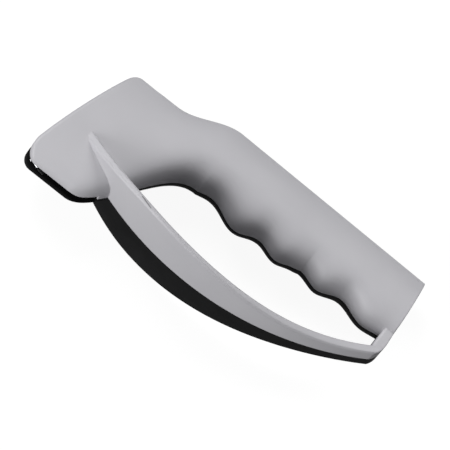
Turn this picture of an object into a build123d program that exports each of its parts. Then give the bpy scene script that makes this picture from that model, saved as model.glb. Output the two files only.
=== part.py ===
from build123d import *
from math import atan, cos, degrees, hypot, pi, radians, sin, sqrt, tan
import os

# A hand-held knife sharpener that is drawn along the blade: a head with a knife slot
# and two crossed hard-metal bars at its nose, a handle with finger grooves, and a
# shield-shaped guard that runs under the fingers from the head to the butt.
# It is drawn with X from nose to butt, Y up from the lips of the slot to the back of
# the handle, and Z from the parting plane towards the grey half. At the end it is
# laid down on its black half, the way it lies on a table.

# Overall sizes in millimetres
overall_length = 140.0
overall_height = 59.8
handle_width = 23.0
head_width = 19.2
back_fall = 1.7
wall = 2.2
edge_round = 1.2
overrun = 6.0
fit_clearance = 0.05

# Nose: an arc that leans back from the foot to the top corner
nose_setback = 13.7
foot_lean = 13.0
foot_round = 7.0
corner_round = 9.5
corner_slope = 8.0

# Butt: the end face leans forward a little
butt_lean = 5.0
butt_corner_height = 28.8

# Guard: a crowned shield bent to a long arc
guard_radius = 118.0
guard_clearance = 2.5
guard_thickness = 3.4
guard_crown = 1.3
guard_width = 38.8
guard_root_width = 16.0
guard_butt_width = 11.6
rim_bevel = 0.7
link_thickness = 4.2
link_width = 13.6
link_foot_width = 11.0
link_corner_round = 8.0
link_edge_round = 1.0

# Knife slot along the bottom of the head
slot_width = 5.0
slot_depth = 10.5
slot_mouth_width = 6.6
slot_flare_depth = 1.4
slot_run_share = 0.15

# Crossed bars and the block that holds them, set parallel to the nose
nose_wall = 1.6
nose_lean = 13.5
bar_width = 2.8
bar_thickness = 1.5
bar_length = 14.0
bar_lean = 20.0
bar_tip_height = 4.0
bar_gap = 0.1
vee_height = 7.7
holder_width = 12.4
holder_foot_width = 8.8
holder_foot_height = 3.8
holder_shoulder_height = 8.0
holder_height = 19.6
holder_back = 3.0
cover_thickness = 0.9
cover_screw_spacing = 9.0
cover_screw_height = 15.8
cover_screw_diameter = 1.8
cover_screw_head = 3.0
cover_screw_length = 4.6

# Case screws with their posts and wells, and the pins that line up the halves
case_screw_diameter = 3.0
case_screw_length = 11.5
case_screw_head = 5.4
case_screw_head_height = 2.2
case_screw_tip = 1.6
recess_length = 3.4
recess_width = 0.8
recess_depth = 1.2
seat_depth = 4.6
well_clearance = 0.3
post_diameter = 8.8
rib_thickness = 1.6
rib_gap = 3.2
pin_diameter = 1.6
pin_length = 2.4

# Lines that shape the head and handle, as shares of length and of height
back_line_shares = [(0.225, 0.876), (0.393, 1.0)]
belly_line_shares = [(0.143, 0.518), (0.393, 0.732)]
palm_line_shares = [
    (0.143, 0), (0.379, 0.545), (0.432, 0.570), (0.525, 0.497), (0.590, 0.547), (0.650, 0.510),
    (0.719, 0.560), (0.776, 0.525), (0.841, 0.577), (0.921, 0.525), (0.986, 0.545),
]
width_line_shares = [0.143, 0.393]
back_fullness_shares = [(0.143, 0.80), (0.393, 0.665)]
palm_fullness_shares = [(0.143, 0.80), (0.393, 0.58)]
core_place_shares = [0.0, 0.143, 0.202, 0.261, 0.32]

# Places on the guard, as shares of length
guard_low_share = 0.5126
guard_root_share = 0.071
guard_widest_share = 0.357
guard_end_share = 0.971

# Places of posts, ribs and pins, as shares of length and of height
case_screw_shares = [(0.165, 0.60), (0.56, 0.765), (0.91, 0.765)]
rib_place_shares = [0.335, 0.725]
pin_place_shares = [0.38, 0.56, 0.74]

waist_section_count = 9
grip_section_count = 12
guard_section_count = 16
core_curve_steps = 3
roll_steps = 40


def along(share):
    """Place on X of a share of the length, measured from the nose."""
    return (share - 0.5) * overall_length


def placed(line_shares, height):
    """A line of shares as places in millimetres."""
    return [(along(share), level * height) for share, level in line_shares]


def eased(line, x):
    """Height at x of a line that runs level through each of its points."""
    if x <= line[0][0]:
        return line[0][1]
    for (start, low), (end, high) in zip(line, line[1:]):
        if x <= end:
            travel = (x - start) / (end - start)
            return low + (high - low) * (1 - cos(pi * travel)) / 2
    return line[-1][1]


back_line = placed(back_line_shares, overall_height)
belly_line = placed(belly_line_shares, overall_height)
palm_line = placed(palm_line_shares, overall_height)
back_fullness_line = placed(back_fullness_shares, 1)
palm_fullness_line = placed(palm_fullness_shares, 1)
head_end, waist_end = [along(share) for share in width_line_shares]
handle_end = overall_length / 2 + overrun
width_line = [(head_end, head_width / 2), (waist_end, handle_width / 2)]


def lowered(line, x):
    """Height at x of a line that also falls with the back, straight down from the waist to the butt."""
    return eased(line, x) - back_fall * max(x - waist_end, 0) / (handle_end - waist_end)


def steepness(x):
    """How much longer the underside is than its run on X, so that walls keep their thickness."""
    step = wall / 2
    return hypot(1, (eased(palm_line, x + step) - eased(palm_line, x - step)) / (2 * step))


def station(x):
    """Plane across the tool at x, with its own X on the tool's Y and its own Y on Z."""
    return Plane(origin=(x, 0, 0), x_dir=(0, 1, 0), z_dir=(1, 0, 0))


def side_curves(x, inset):
    """Control points of one side of the section, below and above its widest place."""
    back = lowered(back_line, x) - inset
    belly = lowered(belly_line, x)
    palm = eased(palm_line, x) + inset * steepness(x)
    half = eased(width_line, x) - inset
    palm_fullness = eased(palm_fullness_line, x)
    back_fullness = eased(back_fullness_line, x)
    palm_pull = belly - palm_fullness * (belly - palm)
    back_pull = belly + back_fullness * (back - belly)
    low = [(palm, 0), (palm, palm_fullness * half), (palm_pull, half), (belly, half)]
    high = [(belly, half), (back_pull, half), (back, back_fullness * half), (back, 0)]
    return low, high


def skin_section(x, parts=(0, 1)):
    """Closed section of head or handle: the whole of it, or only below or above its widest place."""
    curves = side_curves(x, 0)
    with BuildSketch(station(x)) as section:
        with BuildLine():
            for part in parts:
                mirror(Bezier(*curves[part]), about=Plane.XZ)
            if len(parts) == 1:
                belly, half = curves[1][0]
                Line((belly, -half), (belly, half))
        make_face()
    return section.sketch


def core_section(x):
    """Many-sided section one wall inside the skin."""
    points = []
    for curve in side_curves(x, wall):
        for step in range(core_curve_steps + 1):
            travel = step / core_curve_steps
            weights = [(1 - travel)**3, 3 * (1 - travel)**2 * travel, 3 * (1 - travel) * travel**2, travel**3]
            points.append(tuple(sum(w * point[axis] for w, point in zip(weights, curve)) for axis in (0, 1)))
    points.pop(core_curve_steps)
    mirrored = [(y, -z) for y, z in points[-2:0:-1]]
    with BuildSketch(station(x)) as section:
        with BuildLine():
            Polyline(*points, *mirrored, close=True)
        make_face()
    return section.sketch


def spaced(first, last, count):
    """Even places from first to last."""
    return [first + (last - first) * index / (count - 1) for index in range(count)]


# Guard
guard_low = along(guard_low_share)


def guard_outside(x):
    """Height of the guard's outer face on the parting plane."""
    return guard_clearance + guard_radius - sqrt(guard_radius**2 - (x - guard_low) ** 2)


def guard_inside(x):
    """Height of the guard's inner face, which keeps the plate's thickness on the slope."""
    slope = (x - guard_low) / sqrt(guard_radius**2 - (x - guard_low) ** 2)
    return guard_outside(x) + guard_thickness * hypot(1, slope)


def guard_half(x):
    """Half width of the guard: swelling from the head, then drawn in to the butt."""
    widest = along(guard_widest_share)
    root = along(guard_root_share)
    if x < widest:
        swell = sin(pi / 2 * max(x - root, 0) / (widest - root))
        return (guard_root_width + (guard_width - guard_root_width) * swell) / 2
    ends = [(widest, guard_width / 2), (along(guard_end_share), guard_butt_width / 2)]
    return eased(ends, x)


def guard_section(x):
    """Section of the guard: flat inside, straight rims and a crowned outside."""
    half = guard_half(x)
    inside = guard_inside(x)
    outside = guard_outside(x)
    rim = outside + guard_crown * (2 * half / guard_width) ** 2
    edge = half - rim_bevel
    with BuildSketch(station(x)) as section:
        with BuildLine():
            Polyline((rim, -edge), (rim + rim_bevel, -half), (inside - rim_bevel, -half), (inside, -edge),
                     (inside, edge), (inside - rim_bevel, half), (rim + rim_bevel, half), (rim, edge))
            ThreePointArc((rim, edge), (outside, 0), (rim, -edge))
        make_face()
    return section.sketch


# Head and handle as one closed form, trimmed by the side outline of nose and butt
nose = -overall_length / 2
head_top = back_line[0][1]
nose_top = (nose + nose_setback, head_top)
foot = (nose + foot_round, 0)
lean_up = (sin(radians(foot_lean)), cos(radians(foot_lean)))
slope_run = 2 * corner_round
butt_plane = Plane(
    origin=(overall_length / 2, butt_corner_height, 0),
    x_dir=(0, 0, 1),
    z_dir=(cos(radians(butt_lean)), sin(radians(butt_lean)), 0),
)

with BuildPart() as body_form:
    loft(sections=[skin_section(x) for x in (nose - overrun, head_end)], ruled=True)
    loft(sections=[skin_section(x) for x in spaced(head_end, waist_end, waist_section_count)])
    grip_middle = (waist_end + handle_end) / 2
    for start, end in ((waist_end, grip_middle), (grip_middle, handle_end)):
        loft(sections=[skin_section(x, [0]) for x in spaced(start, end, grip_section_count)])
        loft(sections=[skin_section(x, [1]) for x in (start, end)], ruled=True)
    with BuildSketch() as side_outline:
        with BuildLine():
            foot_arc = JernArc(foot, (-1, 0), foot_round, -90 - foot_lean)
            TangentArc(foot_arc @ 1, nose_top, tangent=lean_up)
            slope_end = (nose_top[0] + slope_run, head_top + slope_run * tan(radians(corner_slope)))
            Polyline(nose_top, slope_end, (slope_end[0], overall_height + overrun),
                     (overall_length, overall_height + overrun), (overall_length, -overrun),
                     (foot[0], -overrun), foot)
        make_face()
        fillet(side_outline.vertices().sort_by_distance(nose_top)[0], radius=corner_round)
    extrude(amount=handle_width, both=True, mode=Mode.INTERSECT)
    split(bisect_by=butt_plane, keep=Keep.BOTTOM)
    nose_faces = body_form.faces().filter_by(GeomType.CYLINDER)
    nose_edges = ShapeList(edge for face in nose_faces for edge in face.edges())
    fillet(nose_edges.filter_by(GeomType.LINE, reverse=True), radius=edge_round)

with BuildPart() as guard_form:
    guard_places = spaced(along(guard_root_share), overall_length / 2 + overrun, guard_section_count)
    loft(sections=[guard_section(x) for x in guard_places])

# Whole outer form: body, guard and the link between them at the butt
link_front = overall_length / 2 - link_thickness
link_top = lowered(belly_line, link_front)
butt_corner = (overall_length / 2 + (butt_corner_height - guard_outside(overall_length / 2))
               * tan(radians(butt_lean)), guard_outside(overall_length / 2))
top_rise = overall_height + overrun - butt_corner[1]
butt_top = (butt_corner[0] - top_rise * tan(radians(butt_lean)), butt_corner[1] + top_rise)
under_angle = atan((butt_corner[0] - guard_low) / guard_radius) + radians(butt_lean)
under_run = overall_length
under_fall = under_run * tan(under_angle)

with BuildPart() as link_form:
    link_low = (guard_outside(link_front) + guard_inside(link_front)) / 2
    with BuildSketch(station(link_front)):
        with BuildLine():
            Polyline((link_low, -link_foot_width / 2), (link_top, -link_width / 2),
                     (link_top, link_width / 2), (link_low, link_foot_width / 2), close=True)
        make_face()
    extrude(amount=link_thickness + overrun)
    front_edges = link_form.faces().sort_by(Axis.X)[0].edges().sort_by(Axis.Z)
    fillet([front_edges[0], front_edges[-1]], radius=link_edge_round)

with BuildPart() as outer_form:
    add(body_form.part)
    add(guard_form.part)
    add(link_form.part)
    with BuildSketch() as butt_outline:
        with BuildLine():
            Polyline((butt_corner[0] - under_run, butt_corner[1] - under_fall), butt_corner, butt_top,
                     (nose - overrun, butt_top[1]), (nose - overrun, butt_corner[1] - under_fall), close=True)
        make_face()
        fillet(butt_outline.vertices().sort_by_distance(butt_corner)[0], radius=link_corner_round)
    extrude(amount=guard_width, both=True, mode=Mode.INTERSECT)

# Knife slot, open at the nose and run out in an arc before the guard
slot_end = nose + slot_run_share * overall_length
with BuildPart() as slot:
    with BuildSketch():
        with BuildLine():
            Polyline((slot_end + slot_depth, 0), (slot_end + slot_depth, -overrun),
                     (nose - overrun, -overrun), (nose - overrun, slot_depth), (slot_end, slot_depth))
            RadiusArc((slot_end, slot_depth), (slot_end + slot_depth, 0), slot_depth)
        make_face()
    extrude(amount=slot_width / 2, both=True)
    with BuildSketch(station(nose - overrun)):
        flare_slope = (slot_mouth_width - slot_width) / 2 / slot_flare_depth
        flare_foot = slot_mouth_width / 2 + flare_slope * overrun
        with BuildLine():
            Polyline((slot_flare_depth, -slot_width / 2), (-overrun, -flare_foot), (-overrun, flare_foot),
                     (slot_flare_depth, slot_width / 2), close=True)
        make_face()
    extrude(amount=slot_end + slot_depth - nose + overrun)

# Planes behind the nose, with their own X on the tool's Z and their own Y up the nose
nose_plane = Plane(
    origin=(nose, 0, 0),
    x_dir=(0, 0, 1),
    z_dir=(-cos(radians(nose_lean)), sin(radians(nose_lean)), 0),
)
bar_layer = bar_thickness + bar_gap
cover_front = nose_wall
holder_front = cover_front + cover_thickness
holder_depth = 2 * bar_layer + holder_back
cover_screw_places = [(side * cover_screw_spacing / 2, cover_screw_height) for side in (-1, 1)]


def holder_outline(clearance):
    """Outline of the holder on a plane behind the nose, with clearance all round."""
    foot = holder_foot_width / 2 + clearance
    side = holder_width / 2 + clearance
    low = holder_foot_height - clearance
    top = holder_height + clearance
    with BuildSketch() as outline:
        with BuildLine():
            Polyline((-foot, low), (-side, holder_shoulder_height), (-side, top), (side, top),
                     (side, holder_shoulder_height), (foot, low), close=True)
        make_face()
    return outline.sketch


def knife_notch():
    """Round-topped notch that the knife passes through, from below the holder up to the slot's roof."""
    with BuildSketch() as notch:
        with Locations((0, (slot_depth - slot_width / 2 - overrun) / 2)):
            Rectangle(slot_width, slot_depth - slot_width / 2 + overrun)
        with Locations((0, slot_depth - slot_width / 2)):
            Circle(slot_width / 2)
    return notch.sketch


def bar_outline(side, clearance):
    """One leaning bar, with its inner edge on the V and its foot on side 1 or -1."""
    lean = radians(bar_lean)
    foot_offset = (vee_height - bar_tip_height) * tan(lean) + bar_width / 2 / cos(lean)
    middle = bar_length / 2
    place = (side * (foot_offset - middle * sin(lean)), bar_tip_height + middle * cos(lean))
    with BuildSketch() as outline:
        with Locations(Location(place, side * bar_lean)):
            Rectangle(bar_width + 2 * clearance, bar_length + 2 * clearance)
    return outline.sketch


with BuildPart() as holder_pocket:
    with BuildSketch(nose_plane.offset(-cover_front + fit_clearance)):
        add(holder_outline(fit_clearance))
    extrude(amount=-(cover_thickness + holder_depth + 2 * fit_clearance))

with BuildPart() as blade_holder:
    with BuildSketch(nose_plane.offset(-holder_front)):
        add(holder_outline(0))
        add(knife_notch(), mode=Mode.SUBTRACT)
    extrude(amount=-holder_depth)
    with BuildSketch(nose_plane.offset(-holder_front)):
        add(bar_outline(1, fit_clearance))
    extrude(amount=-bar_layer, mode=Mode.SUBTRACT)
    with BuildSketch(nose_plane.offset(-holder_front)):
        add(bar_outline(-1, fit_clearance))
    extrude(amount=-2 * bar_layer, mode=Mode.SUBTRACT)
    with BuildSketch(nose_plane.offset(-holder_front)):
        with Locations(cover_screw_places):
            Circle(cover_screw_diameter / 2 + fit_clearance)
    extrude(amount=-(cover_screw_length + fit_clearance), mode=Mode.SUBTRACT)

with BuildPart() as holder_cover:
    with BuildSketch(nose_plane.offset(-cover_front)):
        add(holder_outline(0))
        add(knife_notch(), mode=Mode.SUBTRACT)
    extrude(amount=-cover_thickness)
    with Locations(nose_plane.offset(-cover_front)):
        with Locations(cover_screw_places):
            CounterSinkHole(cover_screw_diameter / 2 + fit_clearance, cover_screw_head / 2 + fit_clearance)

with BuildPart() as front_carbide:
    with BuildSketch(nose_plane.offset(-holder_front - bar_gap / 2)):
        add(bar_outline(1, 0))
    extrude(amount=-bar_thickness)

with BuildPart() as rear_carbide:
    with BuildSketch(nose_plane.offset(-holder_front - bar_layer - bar_gap / 2)):
        add(bar_outline(-1, 0))
    extrude(amount=-bar_thickness)

# Core: the hollow inside, with the screw posts and ribs left standing in it
case_screw_places = placed(case_screw_shares, overall_height)
post_radius = post_diameter / 2
core_floor = slot_depth + wall
core_front = nose_plane.offset(-(holder_front + holder_depth + wall))
rib_places = [along(share) for share in rib_place_shares]
core_places = [along(share) for share in core_place_shares] + [x for x, palm in palm_line[1:-1]]
core_places.append(overall_length / 2)
rib_height = handle_width / 2 - rib_gap

with BuildPart() as core:
    loft(sections=[core_section(x) for x in core_places], ruled=True)
    split(bisect_by=butt_plane.offset(-wall), keep=Keep.BOTTOM)
    split(bisect_by=core_front, keep=Keep.BOTTOM)
    floor_end = slot_end + slot_depth + wall
    with BuildSketch():
        with Locations((floor_end, core_floor)):
            Rectangle(overall_length, overall_height, align=(Align.MAX, Align.MAX))
    extrude(amount=handle_width, both=True, mode=Mode.SUBTRACT)
    with BuildSketch():
        with Locations(case_screw_places):
            Circle(post_radius)
    extrude(amount=handle_width, both=True, mode=Mode.SUBTRACT)
    for side in (-1, 1):
        with BuildSketch(Plane.XY.offset(side * rib_gap)):
            with Locations([(x, overall_height / 2) for x in rib_places]):
                Rectangle(rib_thickness, overall_height)
        extrude(amount=side * rib_height, mode=Mode.SUBTRACT)

# Hollow form before it is parted
with BuildPart() as hollow_form:
    add(outer_form.part)
    add(core.part, mode=Mode.SUBTRACT)
    add(slot.part, mode=Mode.SUBTRACT)
    add(holder_pocket.part, mode=Mode.SUBTRACT)

pin_places = [(along(share), (guard_inside(along(share)) + guard_outside(along(share))) / 2)
              for share in pin_place_shares]
screw_hole = case_screw_diameter / 2 + fit_clearance
pilot_depth = case_screw_length - seat_depth + 2 * fit_clearance

# Grey half: blind holes for the case screws, and sockets for the pins
with BuildPart() as grey_shell:
    add(hollow_form.part)
    split(bisect_by=Plane.XY, keep=Keep.TOP)
    with BuildSketch():
        with Locations(case_screw_places):
            Circle(screw_hole)
    extrude(amount=pilot_depth, mode=Mode.SUBTRACT)
    with BuildSketch():
        with Locations(pin_places):
            Circle(pin_diameter / 2 + fit_clearance)
    extrude(amount=pin_length + fit_clearance, mode=Mode.SUBTRACT)

# Black half: through holes under deep wells for the screw heads, and the pins
with BuildPart() as black_shell:
    add(hollow_form.part)
    split(bisect_by=Plane.XY, keep=Keep.BOTTOM)
    with BuildSketch():
        with Locations(case_screw_places):
            Circle(screw_hole)
    extrude(amount=-handle_width, mode=Mode.SUBTRACT)
    with BuildSketch(Plane.XY.offset(-seat_depth)):
        with Locations(case_screw_places):
            Circle(case_screw_head / 2 + well_clearance)
    extrude(amount=-handle_width, mode=Mode.SUBTRACT)
    with BuildSketch():
        with Locations(pin_places):
            Circle(pin_diameter / 2)
    extrude(amount=pin_length)

# Case screws: pan heads with a cross recess, and a pointed shank
with BuildPart() as case_screws:
    with BuildSketch(Plane.XY.offset(-seat_depth)):
        with Locations(case_screw_places):
            Circle(case_screw_head / 2)
    extrude(amount=-case_screw_head_height)
    head_faces = case_screws.faces().filter_by(Axis.Z).group_by(Axis.Z)[0]
    chamfer(head_faces.edges(), length=case_screw_head_height / 3)
    with BuildSketch(Plane.XY.offset(-seat_depth)):
        with Locations(case_screw_places):
            Circle(case_screw_diameter / 2)
    extrude(amount=case_screw_length)
    tips = case_screws.faces().filter_by(Axis.Z).group_by(Axis.Z)[-1]
    chamfer(tips.edges(), length=case_screw_tip, length2=case_screw_diameter / 3)
    with BuildSketch(Plane.XY.offset(-seat_depth - case_screw_head_height)):
        with Locations(case_screw_places):
            Rectangle(recess_length, recess_width)
            Rectangle(recess_width, recess_length)
    extrude(amount=recess_depth, mode=Mode.SUBTRACT)

# Holder screws: countersunk, flush with the cover
sink_depth = (cover_screw_head - cover_screw_diameter) / 2
with BuildPart() as holder_screws:
    with BuildSketch(nose_plane.offset(-cover_front)):
        with Locations(cover_screw_places):
            Circle(cover_screw_head / 2)
    extrude(amount=-sink_depth, taper=45)
    with BuildSketch(nose_plane.offset(-cover_front - sink_depth)):
        with Locations(cover_screw_places):
            Circle(cover_screw_diameter / 2)
    extrude(amount=-(cover_screw_length - sink_depth))

# Lying pose: the tool rolls until the guard's rim and the handle's side touch the table
rest_station = along(guard_widest_share)
rest_belly = eased(belly_line, rest_station)


def roll_gap(roll):
    """How much lower the handle reaches than the guard's rim when the tool is rolled."""
    across, down = sin(roll), cos(roll)
    power = 1 + back_fullness_line[-1][1] ** 2
    reach = (eased(back_line, rest_station) - rest_belly) * across
    handle_low = rest_belly * across + (reach**power + (handle_width / 2 * down) ** power) ** (1 / power)
    rim_low = (guard_inside(rest_station) - rim_bevel) * across
    return handle_low - rim_low - guard_width / 2 * down


pieces = {
    "grey_shell": grey_shell,
    "black_shell": black_shell,
    "front_carbide": front_carbide,
    "rear_carbide": rear_carbide,
    "blade_holder": blade_holder,
    "holder_cover": holder_cover,
    "holder_screws": holder_screws,
    "case_screws": case_screws,
}
low_roll, high_roll = 0, pi / 4
for step in range(roll_steps):
    roll = (low_roll + high_roll) / 2
    if roll_gap(roll) < 0:
        low_roll = roll
    else:
        high_roll = roll

os.makedirs("parts", exist_ok=True)
rolled = Location((0, 0, 0), (-degrees(roll), 0, 0))
reach = Compound(children=[piece.part.moved(rolled) for piece in pieces.values()]).bounding_box()
lying = Location((-reach.center().X, -reach.center().Y, -reach.min.Z)) * rolled
for name, piece in pieces.items():
    piece.part.move(lying)
    piece.part.label = name
    export_step(piece.part, f"parts/{name}.step")

print("roll", degrees(roll), "degrees")
print("size", reach.size)
print("lying place", lying)
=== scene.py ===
import math

import bpy
from mathutils import Matrix, Vector

# A hand-held knife sharpener that lies on its black half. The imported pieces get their
# materials here and lie on a pale floor under four soft lamps. Lengths are in metres.

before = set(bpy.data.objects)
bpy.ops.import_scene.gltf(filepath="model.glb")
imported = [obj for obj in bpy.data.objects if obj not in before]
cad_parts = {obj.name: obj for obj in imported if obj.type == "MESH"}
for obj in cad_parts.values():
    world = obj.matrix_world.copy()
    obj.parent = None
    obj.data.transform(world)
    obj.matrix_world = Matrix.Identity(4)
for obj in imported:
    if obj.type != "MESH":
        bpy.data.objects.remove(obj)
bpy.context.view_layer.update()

# Camera at the photograph's angle: the tool runs down to the right and is seen from above,
# a little from the guard's side
PICTURE_TURN = math.radians(38.4)
VIEW_TILT = math.radians(15.37)
VIEW_CENTRE = Vector((-0.00015, -0.00067, 0.01504))
VIEW_WIDTH = 0.1571
CAMERA_DISTANCE = 2.6
NEAREST_SEEN = 0.05
FARTHEST_SEEN = 20

turn_sin, turn_cos = math.sin(PICTURE_TURN), math.cos(PICTURE_TURN)
tilt_sin, tilt_cos = math.sin(VIEW_TILT), math.cos(VIEW_TILT)
picture_right = Vector((turn_cos, turn_sin * tilt_cos, turn_sin * tilt_sin))
picture_up = Vector((-turn_sin, turn_cos * tilt_cos, turn_cos * tilt_sin))
to_camera = Vector((0, -tilt_sin, tilt_cos))

camera_data = bpy.data.cameras.new("camera")
camera_data.lens = camera_data.sensor_width * CAMERA_DISTANCE / VIEW_WIDTH
camera_data.clip_start = NEAREST_SEEN
camera_data.clip_end = FARTHEST_SEEN
camera = bpy.data.objects.new("camera", camera_data)
axes = Matrix((picture_right, picture_up, to_camera)).transposed()
camera.matrix_world = Matrix.Translation(VIEW_CENTRE + to_camera * CAMERA_DISTANCE) @ axes.to_4x4()
bpy.context.scene.collection.objects.link(camera)
bpy.context.scene.camera = camera

# Softened edges, and the part of noise's range that is spread over a look
EDGE_SOFTNESS = 0.0008
EDGE_SAMPLES = 8
NOISE_LOW = 0.3
NOISE_HIGH = 0.7

# Moulded plastic: flow marks in its colour, patches in its gloss and an eroded grain
FLOW_SCALE = 38
FLOW_DETAIL = 3
FLOW_STRETCH = (1, 1.6, 1.6)
GLOSS_SCALE = 160
GLOSS_DETAIL = 4
GRAIN_SCALE = 2600
GRAIN_DETAIL = 2
GRAIN_HEIGHT = 0.00004

# Ground metal: grinding marks
MARK_SCALE = 900
MARK_DETAIL = 6
MARK_STRENGTH = 0.25
MARK_HEIGHT = 0.00003

# Painted shade: a faint dark line painted into the grey rim's colour, where shade falls in the crease
# just behind the head
SHADE_LINE_START = Vector((-0.0286, -0.0171, 0.0372))
SHADE_LINE_END = Vector((-0.0239, -0.0187, 0.0381))
SHADE_LINE_WIDTH = 0.0003
SHADE_LINE_DEPTH = 0.6

WHITE = (1, 1, 1, 1)
BLACK = (0, 0, 0, 1)


def shader_of(tree):
    """The main shader of a material's node tree."""
    return next(node for node in tree.nodes if node.type == "BSDF_PRINCIPLED")


def new_material(name):
    """Material with nodes, its node tree and its main shader."""
    material = bpy.data.materials.new(name)
    material.use_nodes = True
    tree = material.node_tree
    return material, tree, shader_of(tree)


def noise(tree, scale, detail, stretch=(1, 1, 1)):
    """Noise over the object's own coordinates."""
    place = tree.nodes.new("ShaderNodeTexCoord")
    mapping = tree.nodes.new("ShaderNodeMapping")
    mapping.inputs["Scale"].default_value = stretch
    texture = tree.nodes.new("ShaderNodeTexNoise")
    texture.inputs["Scale"].default_value = scale
    texture.inputs["Detail"].default_value = detail
    tree.links.new(place.outputs["Object"], mapping.inputs["Vector"])
    tree.links.new(mapping.outputs["Vector"], texture.inputs["Vector"])
    return texture.outputs["Fac"]


def ranged(tree, value, low, high):
    """Noise spread from low to high."""
    spread = tree.nodes.new("ShaderNodeMapRange")
    spread.inputs["From Min"].default_value = NOISE_LOW
    spread.inputs["From Max"].default_value = NOISE_HIGH
    spread.inputs["To Min"].default_value = low
    spread.inputs["To Max"].default_value = high
    tree.links.new(value, spread.inputs["Value"])
    return spread.outputs["Result"]


def blended(tree, factor, first, second):
    """Colour between two colours."""
    mix = tree.nodes.new("ShaderNodeMix")
    mix.data_type = "RGBA"
    mix.inputs["A"].default_value = (*first, 1)
    mix.inputs["B"].default_value = (*second, 1)
    tree.links.new(factor, mix.inputs["Factor"])
    return mix.outputs["Result"]


def bumped(tree, shader, height, strength, distance):
    """Bump on the shader's normal, over edges that are softened by a hair."""
    soft_edge = tree.nodes.new("ShaderNodeBevel")
    soft_edge.samples = EDGE_SAMPLES
    soft_edge.inputs["Radius"].default_value = EDGE_SOFTNESS
    bump = tree.nodes.new("ShaderNodeBump")
    bump.inputs["Strength"].default_value = strength
    bump.inputs["Distance"].default_value = distance
    tree.links.new(soft_edge.outputs["Normal"], bump.inputs["Normal"])
    tree.links.new(height, bump.inputs["Height"])
    tree.links.new(bump.outputs["Normal"], shader.inputs["Normal"])


def moulded_plastic(name, pale, deep, roughness, grain, shine):
    """Plastic with faint flow marks in colour and roughness, and a fine eroded grain."""
    material, tree, shader = new_material(name)
    shader.inputs["Specular IOR Level"].default_value = shine
    flow = ranged(tree, noise(tree, FLOW_SCALE, FLOW_DETAIL, FLOW_STRETCH), 0, 1)
    tree.links.new(blended(tree, flow, pale, deep), shader.inputs["Base Color"])
    gloss = noise(tree, GLOSS_SCALE, GLOSS_DETAIL)
    tree.links.new(ranged(tree, gloss, *roughness), shader.inputs["Roughness"])
    bumped(tree, shader, noise(tree, GRAIN_SCALE, GRAIN_DETAIL), grain, GRAIN_HEIGHT)
    return material


def ground_metal(name, pale, deep, roughness, stretch):
    """Metal with grinding marks, which run along the axes with the lowest stretch."""
    material, tree, shader = new_material(name)
    shader.inputs["Metallic"].default_value = 1
    marks = noise(tree, MARK_SCALE, MARK_DETAIL, stretch)
    tree.links.new(blended(tree, ranged(tree, marks, 0, 1), pale, deep), shader.inputs["Base Color"])
    tree.links.new(ranged(tree, marks, *roughness), shader.inputs["Roughness"])
    bumped(tree, shader, marks, MARK_STRENGTH, MARK_HEIGHT)
    return material


def painted_shade_along(material, start, end, width, depth):
    """Paints shade into a material's colour along a short straight line between two places on its
    surface.
    """
    tree = material.node_tree
    colour = shader_of(tree).inputs["Base Color"]
    run = end - start

    # Share of the run, from 0 at its start to 1 at its end, at which it passes nearest
    place = tree.nodes.new("ShaderNodeTexCoord")
    from_start = tree.nodes.new("ShaderNodeVectorMath")
    from_start.operation = "SUBTRACT"
    from_start.inputs[1].default_value = start
    tree.links.new(place.outputs["Object"], from_start.inputs[0])
    travel = tree.nodes.new("ShaderNodeVectorMath")
    travel.operation = "DOT_PRODUCT"
    travel.inputs[1].default_value = run / run.length_squared
    tree.links.new(from_start.outputs["Vector"], travel.inputs[0])
    kept = tree.nodes.new("ShaderNodeClamp")
    tree.links.new(travel.outputs["Value"], kept.inputs["Value"])

    # Distance from the painted shade line, and how much painted shade that gives the place
    nearest = tree.nodes.new("ShaderNodeVectorMath")
    nearest.operation = "SCALE"
    nearest.inputs[0].default_value = run
    tree.links.new(kept.outputs["Result"], nearest.inputs["Scale"])
    distance = tree.nodes.new("ShaderNodeVectorMath")
    distance.operation = "DISTANCE"
    tree.links.new(from_start.outputs["Vector"], distance.inputs[0])
    tree.links.new(nearest.outputs["Vector"], distance.inputs[1])
    edge = tree.nodes.new("ShaderNodeMapRange")
    edge.interpolation_type = "SMOOTHSTEP"
    edge.inputs["From Min"].default_value = width / 2
    edge.inputs["From Max"].default_value = width
    edge.inputs["To Min"].default_value = depth
    edge.inputs["To Max"].default_value = 0
    tree.links.new(distance.outputs["Value"], edge.inputs["Value"])

    mix = tree.nodes.new("ShaderNodeMix")
    mix.data_type = "RGBA"
    mix.inputs["B"].default_value = BLACK
    tree.links.new(colour.links[0].from_socket, mix.inputs["A"])
    tree.links.new(edge.outputs["Result"], mix.inputs["Factor"])
    tree.links.new(mix.outputs["Result"], colour)


looks = {
    "grey_shell": moulded_plastic(
        "grey_plastic", pale=(0.49, 0.485, 0.51), deep=(0.465, 0.46, 0.485),
        roughness=(0.44, 0.54), grain=0.16, shine=0.35),
    "black_shell": moulded_plastic(
        "black_plastic", pale=(0.008, 0.008, 0.0084), deep=(0.0055, 0.0055, 0.0058),
        roughness=(0.55, 0.65), grain=0.16, shine=0.05),
    "blade_holder": moulded_plastic(
        "holder_plastic", pale=(0.03, 0.03, 0.031), deep=(0.024, 0.024, 0.025),
        roughness=(0.4, 0.5), grain=0.1, shine=0.3),
    "front_carbide": ground_metal(
        "carbide", pale=(0.55, 0.56, 0.58), deep=(0.4, 0.41, 0.43),
        roughness=(0.18, 0.34), stretch=(1, 4, 4)),
    "holder_cover": ground_metal(
        "cover_steel", pale=(0.62, 0.62, 0.64), deep=(0.5, 0.5, 0.52),
        roughness=(0.25, 0.4), stretch=(1, 1, 6)),
    "case_screws": ground_metal(
        "screw_steel", pale=(0.6, 0.6, 0.61), deep=(0.45, 0.45, 0.46),
        roughness=(0.25, 0.42), stretch=(2, 2, 2)),
}
looks["rear_carbide"] = looks["front_carbide"]
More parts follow.
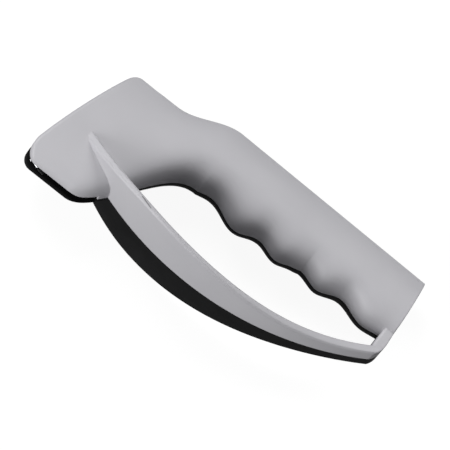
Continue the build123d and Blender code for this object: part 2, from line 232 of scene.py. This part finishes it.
looks["holder_screws"] = looks["case_screws"]
# Painted shade: a thin dark line painted into the grey shell's colour on its rim, just behind the head
painted_shade_along(looks["grey_shell"], SHADE_LINE_START, SHADE_LINE_END, SHADE_LINE_WIDTH, SHADE_LINE_DEPTH)
for name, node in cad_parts.items():
    node.data.materials.clear()
    node.data.materials.append(looks[name])

# Floor and world: white where they are seen, while they light the tool only a little
MIRRORED_SHARE = 0.3
FLOOR_REACH = 12
FLOOR_GAP = 0.0002
FLOOR_GREY = 0.12
FLOOR_WHITENESS = 0.93
WORLD_LIGHT = 0.05


def feed(tree, socket, value):
    """Links a socket to another node's output, or sets it to a number."""
    if isinstance(value, bpy.types.NodeSocket):
        tree.links.new(value, socket)
    else:
        socket.default_value = value


def combined(tree, operation, first, second):
    """Sum or product of two outputs or numbers, kept from 0 to 1."""
    result = tree.nodes.new("ShaderNodeMath")
    result.operation = operation
    result.use_clamp = True
    feed(tree, result.inputs[0], first)
    feed(tree, result.inputs[1], second)
    return result.outputs[0]


def seen_share(tree):
    """1 for rays from the camera or through glass, less for mirrored rays and 0 for all others."""
    path = tree.nodes.new("ShaderNodeLightPath")
    straight = combined(tree, "ADD", path.outputs["Is Camera Ray"], path.outputs["Is Transmission Ray"])
    mirrored = combined(tree, "MULTIPLY", path.outputs["Is Glossy Ray"], MIRRORED_SHARE)
    return combined(tree, "ADD", straight, mirrored)


def white_source(tree, kind, strength):
    """White emission or background, whose strength is an output or a number."""
    source = tree.nodes.new(kind)
    source.inputs["Color"].default_value = WHITE
    feed(tree, source.inputs["Strength"], strength)
    return source.outputs[0]


floor_data = bpy.data.meshes.new("floor")
corners = [(x * FLOOR_REACH, y * FLOOR_REACH, 0) for x, y in ((-1, -1), (1, -1), (1, 1), (-1, 1))]
floor_data.from_pydata(corners, [], [(0, 1, 2, 3)])
floor = bpy.data.objects.new("floor", floor_data)
floor.location.z = -FLOOR_GAP
bpy.context.scene.collection.objects.link(floor)

# The floor keeps the soft shadow, because its own light is added to what it reflects
floor_material = bpy.data.materials.new("floor_white")
floor_material.use_nodes = True
tree = floor_material.node_tree
tree.nodes.clear()
output = tree.nodes.new("ShaderNodeOutputMaterial")
paper = tree.nodes.new("ShaderNodeBsdfDiffuse")
paper.inputs["Color"].default_value = (FLOOR_GREY, FLOOR_GREY, FLOOR_GREY, 1)
whiteness = combined(tree, "MULTIPLY", seen_share(tree), FLOOR_WHITENESS)
both = tree.nodes.new("ShaderNodeAddShader")
tree.links.new(paper.outputs[0], both.inputs[0])
tree.links.new(white_source(tree, "ShaderNodeEmission", whiteness), both.inputs[1])
tree.links.new(both.outputs[0], output.inputs["Surface"])
floor.data.materials.append(floor_material)

world = bpy.data.worlds.new("studio")
bpy.context.scene.world = world
world.use_nodes = True
tree = world.node_tree
tree.nodes.clear()
output = tree.nodes.new("ShaderNodeOutputWorld")
blend = tree.nodes.new("ShaderNodeMixShader")
tree.links.new(seen_share(tree), blend.inputs["Fac"])
tree.links.new(white_source(tree, "ShaderNodeBackground", WORLD_LIGHT), blend.inputs[1])
tree.links.new(white_source(tree, "ShaderNodeBackground", 1), blend.inputs[2])
tree.links.new(blend.outputs[0], output.inputs["Surface"])

# Square soft lamps, each with the direction it stands in from the tool and its power in watts
LAMP_DISTANCE = 1.2
LAMP_SIZE = 0.6
lamps = {
    "key": ((-0.6, 0.4, 0.7), 8.3),
    "back_light": ((0.3, 0.7, 0.65), 6.7),
    "guard_fill": ((-0.45, -0.85, 0.3), 10.4),
    "palm_fill": ((-0.25, -0.8, 0.55), 2.4),
}
for name, (direction, power) in lamps.items():
    lamp_data = bpy.data.lights.new(name, "AREA")
    lamp_data.size = LAMP_SIZE
    lamp_data.energy = power
    lamp = bpy.data.objects.new(name, lamp_data)
    aim = Vector(direction).normalized()
    lamp.location = VIEW_CENTRE + aim * LAMP_DISTANCE
    lamp.rotation_mode = "QUATERNION"
    lamp.rotation_quaternion = aim.to_track_quat("Z", "Y")
    bpy.context.scene.collection.objects.link(lamp)

bpy.context.scene.view_settings.view_transform = "Standard"
